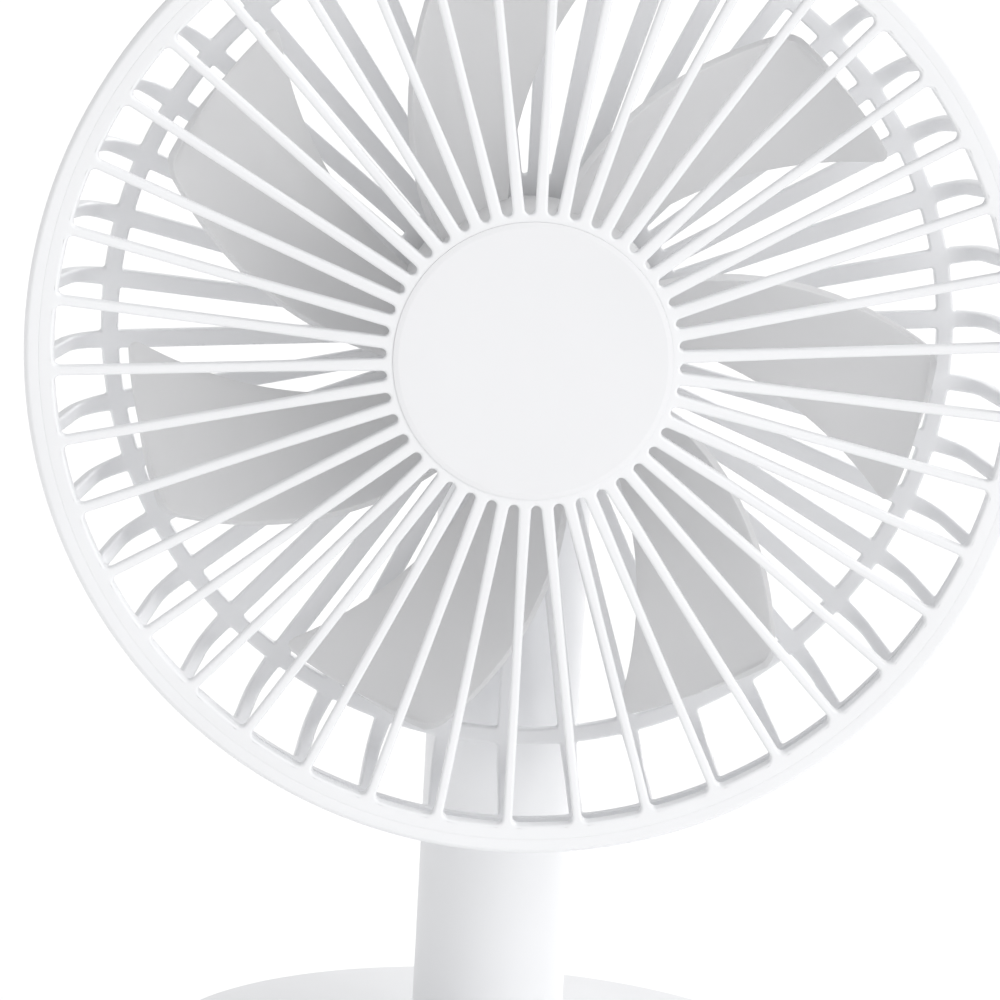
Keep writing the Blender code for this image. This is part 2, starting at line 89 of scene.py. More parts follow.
BRACKET_SCREWS = 18.0           # radii of the screw circles, and their screws' angles in degrees
BRACKET_ANGLES = (90, 210, 330)
MOTOR_SCREWS = 11.0
MOTOR_ANGLES = (30, 150, 270)
BASE_SCREWS = 35.0
BASE_ANGLES = (60, 120, 240, 300)
SCREW_HOLE = 1.5
PIN_HOLE = 2.3

# The head's own frame: x right, y up, z forward, origin on the tilt pivot
HEAD = Matrix.Translation(PIVOT * MM) @ Matrix.Rotation(math.pi / 2, 4, "X")
UPRIGHT = Matrix.Identity(4)


def depth(behind):
    """Height in the head's frame of a point this far behind the cap's face."""
    return FACE - behind


# ---------------------------------------------------------------- camera, light and floor
def make_camera():
    """View fitted to the photograph: aimed at the head from just above and left of its axis."""
    azimuth, elevation, distance = math.radians(-1.9), math.radians(8.6), 833 * MM
    yaw, pitch, roll = math.radians(1.6), math.radians(10.2), math.radians(-3.1)
    cap = (PIVOT - Vector((0, FACE, 0))) * MM
    place = cap + distance * Vector((math.sin(azimuth) * math.cos(elevation),
                                     -math.cos(azimuth) * math.cos(elevation), math.sin(elevation)))
    forward = Vector((math.sin(yaw) * math.cos(pitch), math.cos(yaw) * math.cos(pitch), -math.sin(pitch)))
    level = Vector((math.cos(yaw), -math.sin(yaw), 0))
    down = forward.cross(level)
    right = level * math.cos(roll) + down * math.sin(roll)
    up = level * math.sin(roll) - down * math.cos(roll)
    camera = bpy.data.objects.new("camera", bpy.data.cameras.new("camera"))
    camera.data.lens = 180
    camera.data.sensor_width = 36
    camera.data.clip_start = 0.05
    camera.matrix_world = Matrix.Translation(place) @ Matrix((right, up, -forward)).transposed().to_4x4()
    bpy.context.scene.collection.objects.link(camera)
    bpy.context.scene.camera = camera


def soft_light(name, towards, strength):
    """Broad light from one side, as from a large diffuser."""
    light = bpy.data.objects.new(name, bpy.data.lights.new(name, "SUN"))
    light.data.energy = strength
    light.data.angle = math.radians(45)
    light.rotation_euler = Vector(towards).to_track_quat("Z", "Y").to_euler()
    bpy.context.scene.collection.objects.link(light)


def make_studio():
    """White surroundings, three soft lights and a pale paper floor."""
    world = bpy.data.worlds.new("studio")
    world.use_nodes = True
    world.node_tree.nodes["Background"].inputs["Color"].default_value = (1.0, 1.0, 1.0, 1.0)
    world.node_tree.nodes["Background"].inputs["Strength"].default_value = 0.60
    bpy.context.scene.world = world
    bpy.context.scene.view_settings.view_transform = "Standard"
    soft_light("key", (0.7, -0.6, 0.4), 1.07)
    soft_light("top", (0.0, -0.4, 1.0), 0.33)
    soft_light("rim", (0.6, 0.8, 0.5), 1.6)

    bm = bmesh.new()
    bmesh.ops.create_grid(bm, x_segments=8, y_segments=8, size=6.0)
    mesh = bpy.data.meshes.new("floor")
    bm.to_mesh(mesh)
    bm.free()
    floor = bpy.data.objects.new("floor", mesh)
    bpy.context.scene.collection.objects.link(floor)
    mat = bpy.data.materials.new("floor_paper")
    mat.use_nodes = True
    shader = mat.node_tree.nodes["Principled BSDF"]
    shader.inputs["Base Color"].default_value = (0.9, 0.9, 0.9, 1)
    shader.inputs["Roughness"].default_value = 0.9
    shader.inputs["Emission Color"].default_value = (1, 1, 1, 1)
    shader.inputs["Emission Strength"].default_value = 0.12
    mesh.materials.append(mat)


# ---------------------------------------------------------------- materials
class Nodes:
    """Short way to write a node tree: each method adds a node and returns its output."""

    def __init__(self, name, colour, roughness, metallic=0.0):
        self.mat = bpy.data.materials.new(name)
        self.mat.use_nodes = True
        self.mat.diffuse_color = (*colour, 1)
        self.tree = self.mat.node_tree
        self.shader = self.tree.nodes["Principled BSDF"]
        self.shader.inputs["Base Color"].default_value = (*colour, 1)
        self.shader.inputs["Roughness"].default_value = roughness
        self.shader.inputs["Metallic"].default_value = metallic
        self.place = self.tree.nodes.new("ShaderNodeTexCoord").outputs["Object"]

    def set(self, **values):
        for name, value in values.items():
            self.shader.inputs[name.replace("_", " ")].default_value = value

    def noise(self, scale, detail=3.0, stretch=None):
        node = self.tree.nodes.new("ShaderNodeTexNoise")
        node.inputs["Scale"].default_value = scale
        node.inputs["Detail"].default_value = detail
        place = self.place
        if stretch:
            mapping = self.tree.nodes.new("ShaderNodeMapping")
            mapping.inputs["Scale"].default_value = stretch
            self.tree.links.new(place, mapping.inputs["Vector"])
            place = mapping.outputs["Vector"]
        self.tree.links.new(place, node.inputs["Vector"])
        return node.outputs["Fac"]

    def ramp(self, value, low, high, first, last):
        node = self.tree.nodes.new("ShaderNodeMapRange")
        for name, number in (("From Min", low), ("From Max", high), ("To Min", first), ("To Max", last)):
            node.inputs[name].default_value = number
        self.tree.links.new(value, node.inputs["Value"])
        return node.outputs["Result"]

    def tint(self, value, first, last):
        node = self.tree.nodes.new("ShaderNodeMix")
        node.data_type = "RGBA"
        self.tree.links.new(value, node.inputs["Factor"])
        node.inputs["A"].default_value = (*first, 1)
        node.inputs["B"].default_value = (*last, 1)
        self.tree.links.new(node.outputs["Result"], self.shader.inputs["Base Color"])

    def roughen(self, value):
        self.tree.links.new(value, self.shader.inputs["Roughness"])

    def bump(self, value, strength, height):
        node = self.tree.nodes.new("ShaderNodeBump")
        node.inputs["Strength"].default_value = strength
        node.inputs["Distance"].default_value = height
        self.tree.links.new(value, node.inputs["Height"])
        self.tree.links.new(node.outputs["Normal"], self.shader.inputs["Normal"])


def moulded_plastic(name, colour, roughness, grain=9000.0, grain_height=0.00002):
    """Satin moulded plastic: faint flow tone, uneven gloss and a fine spark-eroded grain."""
    made = Nodes(name, colour, roughness)
    made.tint(made.ramp(made.noise(22.0), 0.35, 0.65, 0, 1),
              [c * 0.985 for c in colour], [min(c * 1.01, 1) for c in colour])
    made.roughen(made.ramp(made.noise(160.0, 4.0), 0.3, 0.7, roughness - 0.05, roughness + 0.06))
    made.bump(made.noise(grain, 2.0), 0.35, grain_height)
    made.set(IOR=1.49)
    return made.mat


def metal(name, colour, roughness, stretch=(1, 1, 1)):
    """Turned or rolled metal with fine streaks along one direction."""
    made = Nodes(name, colour, roughness, 1.0)
    made.tint(made.ramp(made.noise(60.0), 0.3, 0.7, 0, 1), [c * 0.85 for c in colour], colour)
    made.roughen(made.ramp(made.noise(900.0, 3.0, stretch), 0.3, 0.7, roughness - 0.08, roughness + 0.12))
    made.bump(made.noise(1500.0, 2.0, stretch), 0.3, 0.00002)
    return made.mat


def make_materials():
    """Every material, by the short name that the pieces ask for."""
    materials = {
        "white": moulded_plastic("white_shell", (0.86, 0.865, 0.88), 0.40),
        "cap": moulded_plastic("cap_face", (0.832, 0.834, 0.850), 0.34, 12000.0),
        # The blades' grey is partly their own tone and partly painted shade, standing in for the dim light
        # inside the guard
        "blade": moulded_plastic("blade_plastic", (0.78, 0.78, 0.785), 0.36),
        "button": moulded_plastic("button_face", (0.84, 0.845, 0.86), 0.28, 12000.0),
        "black": moulded_plastic("black_plastic", (0.03, 0.03, 0.032), 0.5),
        "steel": metal("bright_steel", (0.62, 0.63, 0.64), 0.32, (1, 1, 0.05)),
        "laminate": metal("laminated_steel", (0.42, 0.42, 0.43), 0.45, (0.05, 1, 0.05)),
        "copper": metal("enamelled_copper", (0.72, 0.34, 0.17), 0.3, (0.05, 1, 0.05)),
    }
    magnet = Nodes("magnet", (0.07, 0.07, 0.075), 0.6)
    magnet.bump(magnet.noise(2500.0), 0.5, 0.00005)
    rubber = Nodes("foot_rubber", (0.42, 0.43, 0.44), 0.85)
    rubber.tint(rubber.ramp(rubber.noise(90.0), 0.35, 0.65, 0, 1), (0.38, 0.39, 0.40), (0.46, 0.47, 0.48))
    rubber.bump(rubber.noise(3500.0, 2.0), 0.6, 0.00006)
    board = Nodes("solder_mask", (0.02, 0.17, 0.07), 0.35)
    board.tint(board.ramp(board.noise(700.0, 0.0), 0.48, 0.52, 0, 1), (0.015, 0.14, 0.06), (0.03, 0.24, 0.10))
    wrap = Nodes("battery_film", (0.08, 0.22, 0.42), 0.25)
    wrap.bump(wrap.noise(140.0, 4.0), 0.4, 0.0002)
    lens = Nodes("lens", (0.8, 0.92, 0.96), 0.12)
    lens.tint(lens.ramp(lens.noise(400.0), 0.3, 0.7, 0, 1), (0.76, 0.9, 0.95), (0.84, 0.94, 0.97))
    lens.set(Transmission_Weight=0.6)
    materials.update(magnet=magnet.mat, rubber=rubber.mat, board=board.mat, wrap=wrap.mat, lens=lens.mat)
    return materials


# ---------------------------------------------------------------- mesh helpers
def smooth(piece, sharp_degrees):
    """Smooth shading, except across edges sharper than this angle."""
    piece.data.shade_smooth()
    piece.data.set_sharp_from_angle(angle=math.radians(sharp_degrees))


def finish_mesh(name, bm, mat, body, place, replaced=()):
    """Turn a millimetre bmesh into a piece that rides on its body."""
    bmesh.ops.remove_doubles(bm, verts=bm.verts, dist=0.0008)
    bmesh.ops.dissolve_degenerate(bm, edges=bm.edges, dist=0.0005)
    bmesh.ops.recalc_face_normals(bm, faces=bm.faces)
    if bm.calc_volume(signed=True) < 0:
        bmesh.ops.reverse_faces(bm, faces=bm.faces)
    bm.transform(place @ Matrix.Scale(MM, 4))
    mesh = bpy.data.meshes.new(name)
    bm.to_mesh(mesh)
    bm.free()
    piece = bpy.data.objects.new(name, mesh)
    bpy.context.scene.collection.objects.link(piece)
    mesh.materials.append(mat)
    smooth(piece, 32)
    if body:
        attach(piece, body)
        if replaced:
            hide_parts(*replaced)
    return piece


def polar(radius, degrees):
    """Point (x, y) at this radius and angle."""
    return radius * math.cos(math.radians(degrees)), radius * math.sin(math.radians(degrees))


def rounded(points, radii, steps=4, closed=True):
    """Outline with its corners rounded: each corner becomes a curve between two tangent points."""
    result = []
    count = len(points)
    for index, corner in enumerate(points):
        radius = radii[index] if isinstance(radii, (list, tuple)) else radii
        if radius == 0 or (not closed and index in (0, count - 1)):
            result.append(tuple(corner))
            continue
        here = Vector(corner)
        before = Vector(points[index - 1]) - here
        after = Vector(points[(index + 1) % count]) - here
        half = before.angle(after) / 2
        reach = min(radius / math.tan(half), before.length * 0.49, after.length * 0.49)
        start = here + before.normalized() * reach
        stop = here + after.normalized() * reach
        for step in range(steps + 1):
            t = step / steps
            point = start * (1 - t) ** 2 + here * 2 * t * (1 - t) + stop * t * t
            result.append((point.x, point.y))
    return result


def add_lathe(bm, profile, steps=160, shift=(0, 0), turn=Matrix.Identity(4)):
    """Turn a closed profile of (r, z) points about the z axis through shift."""
    rings = []
    for r, z in profile:
        if r < 1e-6:
            rings.append([bm.verts.new(turn @ Vector((*shift, z)))] * steps)
            continue
        ring = []
        for step in range(steps):
            angle = math.tau * (step + 0.5) / steps
            ring.append(bm.verts.new(turn @ Vector((shift[0] + r * math.cos(angle),
                                                    shift[1] + r * math.sin(angle), z))))
        rings.append(ring)
    for index, ring in enumerate(rings):
        following = rings[(index + 1) % len(rings)]
        for step in range(steps):
            after = (step + 1) % steps
            corners = list(dict.fromkeys((ring[step], ring[after], following[after], following[step])))
            if len(corners) > 2:
                bm.faces.new(corners)


def add_lathes(bm, profile, steps, radius, angles):
    """Turn the same profile about each point of a circle, such as a circle of screws."""
    for degrees in angles:
        add_lathe(bm, profile, steps, polar(radius, degrees))


def rod(radius, low, high):
    """Profile of a plain cylinder, to turn."""
    return [(0, low), (radius, low), (radius, high), (0, high)]


def counterbore(head_bore, start, seat, end):
    """Profile of a screw hole that is wider where the screw's head goes, to turn."""
    return [(0, start), (head_bore, start), (head_bore, seat), (SCREW_HOLE, seat), (SCREW_HOLE, end),
            (0, end)]


def add_prism(bm, outline, low, high, turn=Matrix.Identity(4)):
    """Solid with a flat outline, from one height to another."""
    lower = [bm.verts.new(turn @ Vector((x, y, low))) for x, y in outline]
    upper = [bm.verts.new(turn @ Vector((x, y, high))) for x, y in outline]
    bm.faces.new(lower)
    bm.faces.new(upper)
    for index in range(len(outline)):
        after = (index + 1) % len(outline)
        bm.faces.new((lower[index], lower[after], upper[after], upper[index]))


def tool(bm, place=UPRIGHT):
    """A cutter or joiner for a Boolean; it is deleted after use."""
    return finish_mesh("tool", bm, None, None, place)


def combine(piece, operation, other):
    """Apply one Boolean to a piece and remove the other shape."""
    mod = piece.modifiers.new("combine", "BOOLEAN")
    mod.operation = operation
    mod.object = other
    apply_modifiers(piece)
    bpy.data.objects.remove(other)


def apply_modifiers(piece):
    """Keep the mesh that the modifiers make, and drop the modifiers."""
    bpy.context.view_layer.update()
    graph = bpy.context.evaluated_depsgraph_get()
    mesh = bpy.data.meshes.new_from_object(piece.evaluated_get(graph))
    piece.modifiers.clear()
    piece.data = mesh


def add_bevel(piece, width, degrees):
    """Modifier that rounds every edge sharper than this angle."""
    mod = piece.modifiers.new("bevel", "BEVEL")
    mod.width = width * MM
    mod.segments = 3
    mod.limit_method = "ANGLE"
    mod.angle_limit = math.radians(degrees)


def soften(piece, width):
    """Small rounded edge on every sharp corner."""
    add_bevel(piece, width, 35)
    apply_modifiers(piece)
    smooth(piece, 35)


# ---------------------------------------------------------------- grilles
class Meridian:
    """A shell's centre line in (r, z), read by distance along it, with the shell's thickness."""

    def __init__(self, points, thickness):
        self.points = [Vector(point) for point in points]
        self.thickness = thickness
        self.along = [0.0]
        for first, second in zip(self.points, self.points[1:]):
            self.along.append(self.along[-1] + (second - first).length)
        self.length = self.along[-1]

    def _segment(self, s):
        for index in range(len(self.along) - 2):
            if s <= self.along[index + 1]:
                return index
        return len(self.along) - 2

    def middle(self, s):
        index = self._segment(s)
        t = (s - self.along[index]) / (self.along[index + 1] - self.along[index])
        return self.points[index].lerp(self.points[index + 1], t)

    def skin(self, s, t):
        """Point at distance s, from the outer skin (t = 0) to the inner one (t = 1)."""
        ahead, behind = self.middle(min(s + 0.3, self.length)), self.middle(max(s - 0.3, 0))
        tangent = (ahead - behind).normalized()
        return self.middle(s) + Vector((tangent.y, -tangent.x)) * (t - 0.5) * self.thickness

    def at_radius(self, radius):
        """Distance along the line where it first reaches this radius."""
        low = min(range(len(self.points)), key=lambda index: abs(self.points[index].x - radius))
        best = self.along[low]
        span = 4.0
        while span > 0.001:
            options = [min(max(best + move, 0), self.length) for move in (-span, 0, span)]
            best = min(options, key=lambda s: abs(self.middle(s).x - radius))
            span /= 2
        return best


END_STEPS = 5           # columns across half a window's end, up to the bar's centre line
FILLET_STEPS = 6
ROUND_STEPS = 4


def window_outline(line, widths, ends, fillets, grow, edge_steps):
    """Half a window's outline as (s, angle from the window's centre line, boundary point)."""
    half = PITCH / 2

    def bar_width(s):
        share = min((line.middle(s).x - widths[2]) / (widths[3] - widths[2]), 1.0)
        return widths[0] + (widths[1] - widths[0]) * max(share, 0.0)

    sides = []
    for side, (end, fillet) in enumerate(zip(ends, fillets)):
        way = -1 if side == 0 else 1
        radius = line.middle(end - way * fillet).x
        width = bar_width(end - way * fillet)
        fillet = min(fillet, radius * math.sin(half) - width / 2 - 0.02)
        centre_s, centre_y = end - way * fillet, width / 2 + fillet
        reach = fillet + grow
        flat_angle = half - math.asin(min(centre_y / line.middle(centre_s).x, 1))
        points = []
        flats = END_STEPS - FILLET_STEPS // 2
        for step in range(flats):
            points.append((end + way * grow, flat_angle * step / flats))
        for step in range(FILLET_STEPS + 1):
            turn = math.pi / 2 * step / FILLET_STEPS
            s = centre_s + way * reach * math.cos(turn)
            y = centre_y - reach * math.sin(turn)
            points.append((s, half - math.asin(y / line.middle(s).x)))
        sides.append(points)
    first, last = sides[0], sides[1]
    start, stop = first[-1][0], last[-1][0]
    edge = []
    for step in range(1, edge_steps):
        s = start + (stop - start) * step / edge_steps
        edge.append((s, half - math.asin((bar_width(s) / 2 - grow) / line.middle(s).x)))
    return first + edge + last[::-1]


def add_windows(bm, line, widths, ends, fillets, margin, roundness, edge_steps=10):
    """One row of BARS windows cut through the shell, with rounded bars between them.

    widths is (inner bar width, outer bar width, radius where the taper starts, radius where it ends).
    """
    nominal = window_outline(line, widths, ends, fillets, 0.0, edge_steps)
    corner, total = END_STEPS, len(nominal)
    rim_points = []
    for index, (s, _) in enumerate(nominal):
        if index <= corner:
            rim_points.append((ends[0] - margin, PITCH / 2 * index / corner))
        elif index >= total - 1 - corner:
            rim_points.append((ends[1] + margin, PITCH / 2 * (total - 1 - index) / corner))
        else:
            rim_points.append((s, PITCH / 2))
    share = roundness / line.thickness
    layers = [(rim_points, 0.0)]
    for step in range(ROUND_STEPS + 1):
        turn = math.pi / 2 * step / ROUND_STEPS
        outline = window_outline(line, widths, ends, fillets, roundness * (1 - math.sin(turn)), edge_steps)
        layers.append((outline, share * (1 - math.cos(turn))))
    layers += [(outline, 1 - t) for outline, t in reversed(layers)]
    for bar in range(BARS):
        centre = -math.pi / 2 + PITCH * (bar + 0.5)
        for mirror in (-1, 1):
            rows = []
            for outline, t in layers:
                row = []
                for s, angle in outline:
                    point = line.skin(s, t)
                    turn = centre + mirror * angle
                    row.append(bm.verts.new((point.x * math.cos(turn), point.x * math.sin(turn), point.y)))
                rows.append(row)
            for row, following in zip(rows, rows[1:]):
                for index in range(total - 1):
                    bm.faces.new((row[index], row[index + 1], following[index + 1], following[index]))


def add_ring(bm, profile):
    """Close a shell between two windows' edges with a turned strip of (r, z) points."""
    columns = BARS * END_STEPS * 2
    rows = []
    for r, z in profile:
        row = []
        for column in range(columns):
            angle = -math.pi / 2 + math.tau * column / columns
            row.append(bm.verts.new((r * math.cos(angle), r * math.sin(angle), z)))
        rows.append(row)
    for row, following in zip(rows, rows[1:]):
        for column in range(columns):
            after = (column + 1) % columns
            bm.faces.new((row[column], row[after], following[after], following[column]))


def make_front_grille(mats):
    """Flat spoked disc, dished slightly back towards its rim, with a recess for the cap."""
    thickness, window_start, window_end, margin = 3.0, 24.5, 80.0, 0.55
    bar_widths = (2.05, 1.56, 25, 46)
    line = Meridian([(20.0, depth(1.78)), (84.0, depth(3.85))], thickness)
    ends = [line.at_radius(window_start), line.at_radius(window_end)]
    rim_radius, recess_radius, bore = 82.445, 23.41, 6.0
    recess_floor, under = depth(1.5), depth(3.2)
    bm = bmesh.new()
    add_windows(bm, line, bar_widths, ends, (0.9, 1.1), margin, 0.5, 14)
    front, back = (line.skin(ends[1] + margin, t) for t in (0, 1))
    rim = rounded([tuple(front), (rim_radius, front.y - 0.04), (rim_radius, back.y), tuple(back)],
                  (0, 0.05, 0.2, 0), 4, False)
    add_ring(bm, rim)
    front, back = (line.skin(ends[0] - margin, t) for t in (0, 1))
    hub = [tuple(front), (recess_radius, front.y + 0.02), (recess_radius, recess_floor),
           (bore, recess_floor), (bore, under), (22.5, under), tuple(back)]
    add_ring(bm, rounded(hub, (0, 0.04, 0.1, 0.2, 0.2, 0, 0), 3, False))
    finish_mesh("front_grille_fine", bm, mats["white"], "head", HEAD, ["front_grille"])


def make_front_cap(mats):
    """Flat disc with a low crowned edge and a short plug behind it."""
    edge, plug = CAP_RADIUS + 0.3, 5.6
    under, plug_end = depth(1.2), depth(2.8)
    face = [(0, depth(0)), (edge - 0.9, depth(0.02)), (edge, depth(0.2)), (edge, under), (plug, under),
            (plug, plug_end), (0, plug_end)]
    bm = bmesh.new()
    add_lathe(bm, rounded(face, (0, 0.4, 0.07, 0.1, 0.1, 0.2, 0), 5), 200)
    finish_mesh("front_cap_fine", bm, mats["cap"], "head", HEAD, ["front_cap"])


def make_rear_grille(mats):
    """Back and side bars of the guard, closed by a lip that meets the guard ring."""
    thickness, turn_radius = 2.4, 8.0
    back_bars, side_bars = (3.1, 3.1, 25, 75), (2.9, 2.4, 75, 80)
    corner = [(20.0, depth(GUARD_BACK)), (79.0, depth(GUARD_BACK)), (83.8, depth(15.0))]
    line = Meridian(rounded(corner, (0, turn_radius, 0), 14, False), thickness)
    plate_edge = line.at_radius(27.2)
    ring_in = line.at_radius(71.2)
    ring_out = line.at_radius(74.2)
    side_end = line.length - 3.3
    margin = (ring_out - ring_in) / 2
    bm = bmesh.new()
    add_windows(bm, line, back_bars, [plate_edge, ring_in], (0.4, 0.5), margin, 0.5, 8)
    add_windows(bm, line, side_bars, [ring_out, side_end], (0.5, 0.8), margin, 0.6, 14)
    outer, inner = (line.skin(side_end + margin, t) for t in (0, 1))
    edge, meeting = RIM_RADIUS - 0.02, depth(GUARD_SPLIT + 0.3)
    lip = [tuple(outer), (edge, outer.y + 0.6), (edge, meeting), (RING_INSIDE, meeting), tuple(inner)]
    add_ring(bm, rounded(lip, (0, 0.5, 0.25, 0.2, 0), 5, False))
    outer, inner = (line.skin(plate_edge - margin, t) for t in (0, 1))
    bore = 4.0
    plate = [tuple(outer), (bore, outer.y), (bore, inner.y), tuple(inner)]
    add_ring(bm, rounded(plate, (0, 0.3, 0.3, 0), 2, False))
    grille = finish_mesh("rear_grille_fine", bm, mats["white"], "head", HEAD,
                         ["rear_grille"])
    bm = bmesh.new()
    hole = rod(SCREW_HOLE, depth(36), depth(41))
    add_lathes(bm, hole, 32, BRACKET_SCREWS, BRACKET_ANGLES)
    add_lathes(bm, hole, 32, MOTOR_SCREWS, MOTOR_ANGLES)
    combine(grille, "DIFFERENCE", tool(bm, place=HEAD))
    smooth(grille, 32)


def make_guard_ring(mats):
    """Rounded outer ring, with a ledge inside that carries the front grille's rim."""
    edge, crest, ledge = RIM_RADIUS - 0.02, 84.4, 81.2
    ring = [(edge, depth(GUARD_SPLIT)), (edge, depth(3.4)), (crest, depth(2.35)),
            (RING_FACE_INSIDE, depth(2.3)), (RING_FACE_INSIDE, depth(5.7)), (ledge, depth(5.7)),
            (ledge, depth(6.9)), (RING_INSIDE, depth(8.1)), (RING_INSIDE, depth(GUARD_SPLIT))]
    bm = bmesh.new()
    add_lathe(bm, rounded(ring, (0.25, 1.0, 0.8, 0.05, 0.1, 0.15, 0.3, 0.5, 0.15), 6), 420)
    finish_mesh("guard_ring_fine", bm, mats["white"], "head", HEAD, ["guard_ring"])


# ---------------------------------------------------------------- impeller
def blade_point(u, v):
    """Point on a blade's middle surface: u from root to tip, v from the rear edge to the front one."""
    root, tip_round, camber = 22.9, 2.0, 1.8            # the root lies inside the hub's wall
    radius = root + (BLADE_TIP - root) * u
    out = radius - HUB_RADIUS
    along = out / (BLADE_TIP - HUB_RADIUS)
    rear_angle, front_angle = 16.4 - 0.5 * out, 47.1 - 0.635 * out
    rear, front = 31.0 - 1.0 * along, 13.5 + 4.5 * along
    over = min(max(radius - (BLADE_TIP - tip_round), 0) / tip_round, 1)
    trim = math.degrees((1 - math.sqrt(1 - over * over)) * tip_round / radius)
    angle = rear_angle + trim + (front_angle - rear_angle - 2 * trim) * v
    behind = rear + (front - rear) * v + camber * math.sin(math.pi * v)
    return (*polar(radius, angle), depth(behind))


def make_blades():
    """The blades' middle surfaces, thickened, with rounded edges."""
    thickness, edge_round = 1.4, 0.45
    radial, chord = 26, 14
    tip_crowding = 1.5              # rows come closer together towards the rounded tip
    bm = bmesh.new()
    for blade in range(BLADES):
        turn = Matrix.Rotation(math.radians(BLADE_PHASE) + math.tau * blade / BLADES, 4, "Z")
        rows = []
        for i in range(radial + 1):
            u = 1 - (1 - i / radial) ** tip_crowding
            rows.append([bm.verts.new(turn @ Vector(blade_point(u, j / chord))) for j in range(chord + 1)])
        for inner, outer in zip(rows, rows[1:]):
            for j in range(chord):
                bm.faces.new((inner[j], outer[j], outer[j + 1], inner[j + 1]))
    bmesh.ops.recalc_face_normals(bm, faces=bm.faces)
    bm.transform(HEAD @ Matrix.Scale(MM, 4))
    mesh = bpy.data.meshes.new("blades")
    bm.to_mesh(mesh)
    bm.free()
    blades = bpy.data.objects.new("blades", mesh)
    bpy.context.scene.collection.objects.link(blades)
    solid = blades.modifiers.new("thickness", "SOLIDIFY")
    solid.thickness = thickness * MM
    solid.offset = 0.0
    solid.use_even_offset = True
    add_bevel(blades, edge_round, 50)
    apply_modifiers(blades)
    return blades


def make_impeller(mats):
    """Hub cup with a rounded face, open at the back for the motor, and its blades."""
    bore, inside = 1.8, 22.0
    face, under, end = depth(8.2), depth(10.8), depth(33.0)
    hub = [(bore, under), (bore, face), (HUB_RADIUS - 0.2, face), (HUB_RADIUS, end), (inside, end),
           (inside, under)]
    bm = bmesh.new()
    add_lathe(bm, rounded(hub, (0.2, 0.3, 1.8, 0.4, 0.4, 0.8), 5), 168)
    impeller = finish_mesh("impeller_fine", bm, mats["blade"], "impeller", HEAD,
                           ["impeller"])
    combine(impeller, "UNION", make_blades())
    smooth(impeller, 40)


# ---------------------------------------------------------------- post, base and back
def make_post(mats):
    """Post tube, with the yoke on its top and the two caps over the yoke's pivot."""
    inside = 11.5
    tube = [(inside, POST_LOW.z), (POST_RADIUS, POST_LOW.z), (POST_RADIUS, POST_HIGH.z),
            (inside, POST_HIGH.z)]
    bm = bmesh.new()
    add_lathe(bm, rounded(tube, (0.1, 0.5, 0.25, 0.1)), 128)
    finish_mesh("post_tube_fine", bm, mats["white"], "post", UPRIGHT, ["post_tube"])
    across = Matrix.Translation(PIVOT) @ Matrix.Rotation(math.pi / 2, 4, "Y")
    make_yoke(mats, across)
    cap_radius, cap_low, cap_high = 4.4, 12.0, 13.0
    for side, node in ((-1, "pivot_cap_left"), (1, "pivot_cap_right")):
        bm = bmesh.new()
        cap = rounded(rod(cap_radius, side * cap_low, side * cap_high), (0, 0.1, 0.3, 0), 4)
        add_lathe(bm, cap, 64, turn=across)
        finish_mesh(f"{node}_fine", bm, mats["white"], "post", UPRIGHT, [node])


def make_yoke(mats, across):
    """Turned plug and head, cut to two ears by a slot, with a bore across them for the pivot pin."""
    plug_radius, plug_length, seam, above = 11.2, 12, POST_HIGH.z + 0.3, YOKE_TOP + 2
    body = [(0, seam - plug_length), (plug_radius, seam - plug_length), (plug_radius, seam),
            (POST_RADIUS, seam), (POST_RADIUS, above), (0, above)]
    bm = bmesh.new()
    add_lathe(bm, body, 128)
    yoke = finish_mesh("post_yoke_fine", bm, mats["white"], "post", UPRIGHT, ["post_yoke"])
    # Side view about the pivot: y forward and back, then z. The cutters reach well past the post
    sideways = Matrix.Translation(PIVOT) @ Matrix(((0, 0, 1, 0), (1, 0, 0, 0), (0, 1, 0, 0), (0, 0, 0, 1)))
    side, below, shoulder, past = 15, -30, -2, 20
    outline = [(-side, below), (side, below), (side, shoulder)]
    outline += [polar(YOKE_TOP - PIVOT.z, degrees) for degrees in range(0, 181, 4)]
    outline += [(-side, shoulder)]
    bm = bmesh.new()
    add_prism(bm, outline, -past, past, sideways)
    combine(yoke, "INTERSECT", tool(bm))
    slot_floor, slot_top = -8.6, 30
    slot = [(-past, slot_top), (-past, slot_floor), (past, slot_floor), (past, slot_top)]
    bm = bmesh.new()
    add_prism(bm, slot, -EAR_INSIDE, EAR_INSIDE, sideways)
    combine(yoke, "DIFFERENCE", tool(bm))
    cap_bore, cap_seat = 4.7, 9.4
    bore = [(0, -past), (cap_bore, -past), (cap_bore, -cap_seat), (PIN_HOLE, -cap_seat),
            (PIN_HOLE, cap_seat), (cap_bore, cap_seat), (cap_bore, past), (0, past)]
    bm = bmesh.new()
    add_lathe(bm, bore, 64, turn=across)
    combine(yoke, "DIFFERENCE", tool(bm))
    soften(yoke, 0.5)


